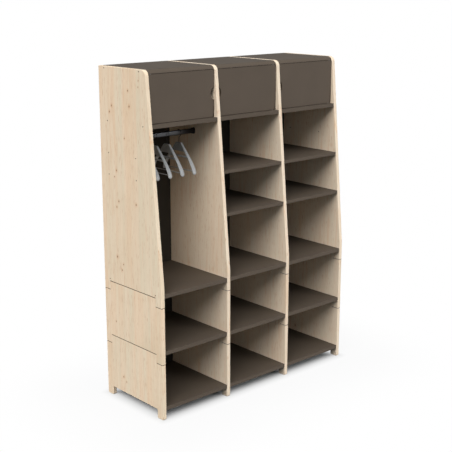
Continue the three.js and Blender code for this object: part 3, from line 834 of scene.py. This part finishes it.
rail_coat = dark_satin()
rail = oval("clothes_rail_tube", rail_low.x, 0)
bpy.ops.mesh.extrude_region_move(TRANSFORM_OT_translate={"value": (rail_high.x - rail_low.x, 0, 0)})
bpy.ops.mesh.select_all(action="SELECT")
bpy.ops.mesh.normals_make_consistent(inside=False)
end_edit()
apply_modifier(rail, "SOLIDIFY", thickness=rail_wall, offset=-1)
smooth_by_angle(rail)
rail.data.materials.append(rail_coat)
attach(rail, "frame")
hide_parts("clothes_rail")

flange_margin = 0.0045
flange_thickness = 0.003
collar_wall = 0.0025
collar_gap = 0.0003
socket_rounding = 0.0005
for side, inward in (("left", 1), ("right", -1)):
    node = f"rail_socket_{side}"
    low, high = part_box(node)
    seat, mouth = (low.x, high.x) if side == "left" else (high.x, low.x)
    flange = oval(f"{node}_cup", seat, flange_margin)
    bpy.ops.mesh.edge_face_add()
    bpy.ops.mesh.extrude_region_move(TRANSFORM_OT_translate={"value": (inward * flange_thickness, 0, 0)})
    bpy.ops.mesh.inset(thickness=flange_margin - collar_gap - collar_wall)
    bpy.ops.mesh.extrude_region_move(
        TRANSFORM_OT_translate={"value": (mouth - seat - inward * flange_thickness, 0, 0)})
    bpy.ops.mesh.inset(thickness=collar_wall)
    bpy.ops.mesh.extrude_region_move(
        TRANSFORM_OT_translate={"value": (seat - mouth + inward * flange_thickness, 0, 0)})
    bpy.ops.mesh.select_all(action="SELECT")
    bpy.ops.mesh.normals_make_consistent(inside=False)
    end_edit()
    apply_modifier(flange, "BEVEL", width=socket_rounding, segments=2, limit_method="ANGLE",
                   angle_limit=math.radians(50))
    smooth_by_angle(flange)
    flange.data.materials.append(rail_coat)
    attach(flange, "frame")
    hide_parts(node)

# Coat hangers
# Moulded in one piece in light grey: two shoulders that grow broader outwards, a neck plate, a brace
# and a trouser bar. They are small, for a child's coats.
hanger_low, hanger_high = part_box("hanger_1")
neck_top = hanger_high.z
hanger_y = (hanger_low.y + hanger_high.y) / 2
hanger_width = 0.292
hanger_drop = 0.176
neck_width = 0.054
neck_plate_thickness = 0.011
neck_plate_drop = 0.051
arm_thickness = 0.010
arm_neck_breadth = 0.016
arm_tip_breadth = 0.031
arm_tip_rounding = 0.015
arm_tip_closing = 0.96
arm_leaves_outwards, arm_leaves_downwards = 0.35, 0.3
arm_turns_down_at = 0.72
arm_step_crowding = 1.6
brace_drop = 0.080
brace_thickness = 0.009
trouser_bar_radius = 0.003
trouser_bar_rise = 0.019
arm_sides = 20
arm_steps = 26
course_points = 200
remesh_size = 0.0013


def moulded_grey():
    plastic = Finish("moulded grey")
    place = plastic.place()
    grain = plastic.noise(place, 1500.0, 2.0)
    cloud = plastic.noise(place, 30.0, 2.0)
    colour = plastic.blend(cloud, shown_as(138, 140, 142), shown_as(150, 152, 153))
    skin = plastic.bump(grain, 0.1, 0.0002)
    return plastic.surface(Base_Color=colour, Roughness=0.36 + grain * 0.12, Normal=skin)


def arm_course(outward):
    """The middle line of one shoulder, from the neck out to its tip."""
    neck = Vector((0, hanger_y + outward * (neck_width - arm_thickness) / 2, neck_top - arm_thickness / 2))
    tip = Vector((0, hanger_y + outward * (hanger_width - arm_thickness) / 2, neck_top - hanger_drop))
    first = Vector((0, neck.y + (tip.y - neck.y) * arm_leaves_outwards,
                    neck.z + (tip.z - neck.z) * arm_leaves_downwards))
    second = Vector((0, tip.y, neck.z + (tip.z - neck.z) * arm_turns_down_at))
    return interpolate_bezier(neck, first, second, tip, course_points)


def arm_reach_at(z):
    """How far a shoulder's middle line is from the neck's middle at a height."""
    return min(arm_course(1), key=lambda at: abs(at.z - z)).y - hanger_y


def hanger_arm(x, outward):
    """One shoulder, drawn out along its course from the neck and closed softly at its tip."""
    course = arm_course(outward)
    lengths = [0]
    for a, b in zip(course, course[1:]):
        lengths.append(lengths[-1] + (b - a).length)
    stations = []
    for i in range(arm_steps + 1):
        share = 1 - (1 - i / arm_steps) ** arm_step_crowding
        at = min(range(len(course)), key=lambda j: abs(lengths[j] - share * lengths[-1]))
        ahead = (course[min(at + 1, len(course) - 1)] - course[max(at - 1, 0)]).normalized()
        from_tip = max(0, 1 - lengths[-1] * (1 - share) / arm_tip_rounding)
        rounding = math.sqrt(1 - (arm_tip_closing * from_tip) ** 2)
        breadth = rounding * (arm_neck_breadth + (arm_tip_breadth - arm_neck_breadth) * share)
        stations.append((course[at] + Vector((x, 0, 0)), ahead, breadth / 2, rounding * arm_thickness / 2))
    start, ahead, half_breadth, half_thickness = stations[0]
    bpy.ops.object.select_all(action="DESELECT")
    bpy.ops.mesh.primitive_circle_add(vertices=arm_sides, radius=1, fill_type="NGON", location=start,
                                      rotation=ahead.to_track_quat("Z", "X").to_euler())
    bpy.context.object.scale = (half_thickness, half_breadth, 1)
    arm = finish_place(bpy.context.object)
    start_edit(arm)
    for before, after in zip(stations, stations[1:]):
        bpy.ops.mesh.extrude_region_move(TRANSFORM_OT_translate={"value": after[0] - before[0]})
        turn = math.atan2(after[1].z, after[1].y) - math.atan2(before[1].z, before[1].y)
        bpy.ops.transform.rotate(value=-turn, orient_axis="X", center_override=after[0])
        thinner = after[3] / before[3]
        bpy.ops.transform.resize(value=(after[2] / before[2], thinner, thinner), center_override=after[0])
    bpy.ops.mesh.select_all(action="SELECT")
    bpy.ops.mesh.normals_make_consistent(inside=False)
    end_edit()
    return arm


def moulded_hanger(x):
    """The shoulders, plate, brace and bar run into each other as one moulding."""
    plate_low = neck_top - neck_plate_drop
    half_plate = neck_plate_thickness / 2
    foot_reach = arm_reach_at(plate_low)
    plate = block("neck plate", (x - half_plate, hanger_y - foot_reach, plate_low),
                  (x + half_plate, hanger_y + foot_reach, neck_top))
    start_edit(plate)
    choose("faces", lambda at, normal: normal.z > 0.9)
    narrower = (neck_width - arm_thickness) / 2 / foot_reach
    bpy.ops.transform.resize(value=(1, narrower, 1), center_override=(x, hanger_y, neck_top))
    end_edit()
    brace_z = neck_top - brace_drop
    reach = arm_reach_at(brace_z)
    brace = block("brace", (x - half_plate, hanger_y - reach, brace_z - brace_thickness / 2),
                  (x + half_plate, hanger_y + reach, brace_z + brace_thickness / 2))
    bar_z = neck_top - hanger_drop + trouser_bar_rise
    bpy.ops.object.select_all(action="DESELECT")
    bpy.ops.mesh.primitive_cylinder_add(
        vertices=24, radius=trouser_bar_radius, depth=2 * arm_reach_at(bar_z),
        location=(x, hanger_y, bar_z), rotation=(math.radians(90), 0, 0))
    bar = finish_place(bpy.context.object)
    arms = [hanger_arm(x, outward) for outward in (1, -1)]
    hanger = joined([brace, bar, *arms, plate])
    apply_modifier(hanger, "REMESH", mode="VOXEL", voxel_size=remesh_size, use_smooth_shade=True)
    apply_modifier(hanger, "SMOOTH", factor=0.5, iterations=4)
    return hanger


hanger_grey = moulded_grey()
first_x = sum(corner.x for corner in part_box("hanger_1")) / 2
master_hanger = moulded_hanger(first_x)
hanger_places = [sum(corner.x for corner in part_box(f"hanger_{i}")) / 2 for i in (1, 2, 3, 4)]
for number, x in enumerate(hanger_places, 1):
    hanger = copy_of(master_hanger, f"hanger_{number}_moulding")
    hanger.location.x = x - first_x
    finish_place(hanger)
    hanger.data.materials.append(hanger_grey)
    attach(hanger, f"hanger_{number}_frame")
    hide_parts(f"hanger_{number}")
discard(master_hanger)

# Hanger hooks
# Dark round wire: up from the neck, a bend to the front, then a ring over the rail that is open behind.
wire_radius = 0.0019
wire_sides = 16
hook_bend_radius = 0.008
hook_clearance = 0.003
hook_gap = 0.0003
tip_angle = math.radians(25)


def dark_wire():
    metal = Finish("dark wire")
    wear = metal.noise(metal.place(), 400.0, 3.0)
    colour = metal.blend(wear.over(0.55, 0.8), shown_as(34, 33, 33), shown_as(60, 58, 56))
    return metal.surface(Base_Color=colour, Metallic=0.85, Roughness=0.3 + wear * 0.15)


def wire_hook(x):
    """A round wire drawn up from the neck, bent to the front and led round the rail."""
    foot_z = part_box("hanger_hook_1")[0].z
    inner = (rail_high.z - rail_low.z) / 2 + hook_clearance
    ring = inner + wire_radius
    ring_z = rail_high.z + hook_gap - inner
    drop = math.sqrt(ring ** 2 + 2 * ring * hook_bend_radius)
    meeting = math.atan2(drop, hook_bend_radius)
    bpy.ops.object.select_all(action="DESELECT")
    bpy.ops.mesh.primitive_circle_add(vertices=wire_sides, radius=wire_radius, fill_type="NGON",
                                      location=(x, hanger_y, foot_z))
    hook = finish_place(bpy.context.object)
    start_edit(hook)
    bpy.ops.mesh.extrude_region_move(TRANSFORM_OT_translate={"value": (0, 0, ring_z - drop - foot_z)})
    bpy.ops.mesh.spin(steps=10, angle=meeting, center=(x, hanger_y - hook_bend_radius, ring_z - drop),
                      axis=(-1, 0, 0))
    bpy.ops.mesh.spin(steps=40, angle=meeting + math.pi + tip_angle, center=(x, hanger_y, ring_z),
                      axis=(1, 0, 0))
    bpy.ops.mesh.select_all(action="SELECT")
    bpy.ops.mesh.remove_doubles(threshold=0.00001)
    bpy.ops.mesh.normals_make_consistent(inside=False)
    end_edit()
    return hook


hook_steel = dark_wire()
for number, x in enumerate(hanger_places, 1):
    hook = wire_hook(x)
    hook.name = f"hanger_hook_{number}_wire"
    smooth_by_angle(hook, 50)
    hook.data.materials.append(hook_steel)
    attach(hook, f"hook_{number}")
    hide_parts(f"hanger_hook_{number}")

# Floor, light and camera
# A plain pale studio: a floor that runs into a white background, one large soft lamp to the left and
# halfway up, a weaker one behind it, a low one from the front right, soft light from all round, and
# the photograph's angle.
lamp_colour = (1, 0.98, 0.95)
dome_colour = (0.78, 0.9, 1, 1)
dome_strength = 0.42
floor_size = 40
shadow_start, shadow_end = -0.09, 0.06
shadow_reach = 0.8
shadow_foot_share = 0.92
shown_floor = (0.5, 0.5, 0.5, 1)
unseen_floor = (0.03, 0.03, 0.03, 1)
camera_place = (-3.9257, -4.3463, 2.4758)
camera_lens = 76.55
camera_sensor = 36
camera_turn, camera_tilt = 0.7312, 0.2486

# Each lamp by its height in degrees, its turn to the left of the front, its spread and its strength.
lamps = [("large lamp", 47, 60, 44, 2.95), ("rear lamp", 35, 105, 20, 0.85),
         ("front lamp", 10, -25, 24, 1.8)]


def studio_floor():
    """White floor that keeps the shadow round the wardrobe's foot and fades to pure white from there."""
    paper = Finish("studio floor")
    x, y = paper.parts(paper.place())[:2]
    beside = x.size() + foot_low.x
    before = y.size() + foot_low.y
    past_side, past_front = beside.at_least(0.0), before.at_least(0.0)
    outside = (past_side * past_side + past_front * past_front).power(0.5)
    reach = outside + beside.at_least(before).at_most(0.0)
    near_foot = reach.over(shadow_start, shadow_end) * shadow_foot_share
    share = near_foot + reach.over(0.0, shadow_reach) * (1 - shadow_foot_share)
    rays = paper.add("ShaderNodeLightPath", {})
    seen = Socket(paper, rays.outputs["Is Camera Ray"]) + Socket(paper, rays.outputs["Is Glossy Ray"])
    seen = (seen + Socket(paper, rays.outputs["Is Transmission Ray"])).at_most(1.0)
    dull = paper.node("ShaderNodeBsdfDiffuse", {}, Color=unseen_floor)
    white = paper.node("ShaderNodeBsdfDiffuse", {}, Color=shown_floor)
    glow = paper.node("ShaderNodeEmission", {}, Color=(1, 1, 1, 1), Strength=1.0)
    shown = paper.node("ShaderNodeMixShader", {}, share, white, glow)
    both = paper.node("ShaderNodeMixShader", {}, seen, dull, shown)
    paper.add("ShaderNodeOutputMaterial", {}, Surface=both)
    return paper.material


bpy.ops.object.select_all(action="DESELECT")
bpy.ops.mesh.primitive_plane_add(size=floor_size, location=(0, 0, 0))
ground = bpy.context.object
ground.name = "studio_floor"
ground.data.materials.append(studio_floor())

world = bpy.data.worlds.new("studio")
bpy.context.scene.world = world
world.use_nodes = True
sky = world.node_tree
sky.nodes.clear()
rays = sky.nodes.new("ShaderNodeLightPath")
white = sky.nodes.new("ShaderNodeBackground")
white.inputs["Color"].default_value = (1, 1, 1, 1)
dome = sky.nodes.new("ShaderNodeBackground")
dome.inputs["Color"].default_value = dome_colour
dome.inputs["Strength"].default_value = dome_strength
pick = sky.nodes.new("ShaderNodeMixShader")
result = sky.nodes.new("ShaderNodeOutputWorld")
sky.links.new(rays.outputs["Is Camera Ray"], pick.inputs[0])
sky.links.new(dome.outputs[0], pick.inputs[1])
sky.links.new(white.outputs[0], pick.inputs[2])
sky.links.new(pick.outputs[0], result.inputs[0])

for name, elevation, to_left, spread, strength in lamps:
    data = bpy.data.lights.new(name, "SUN")
    data.angle = math.radians(spread)
    data.energy = strength
    data.color = lamp_colour
    lamp = bpy.data.objects.new(name, data)
    bpy.context.collection.objects.link(lamp)
    lamp.rotation_euler = (math.radians(90 - elevation), 0, -math.radians(to_left))

camera_data = bpy.data.cameras.new("camera")
camera_data.sensor_width = camera_sensor
camera_data.lens = camera_lens
camera = bpy.data.objects.new("camera", camera_data)
bpy.context.collection.objects.link(camera)
camera.location = camera_place
camera.rotation_euler = (math.pi / 2 - camera_tilt, 0, -camera_turn)
bpy.context.scene.camera = camera
bpy.context.scene.view_settings.view_transform = "Standard"
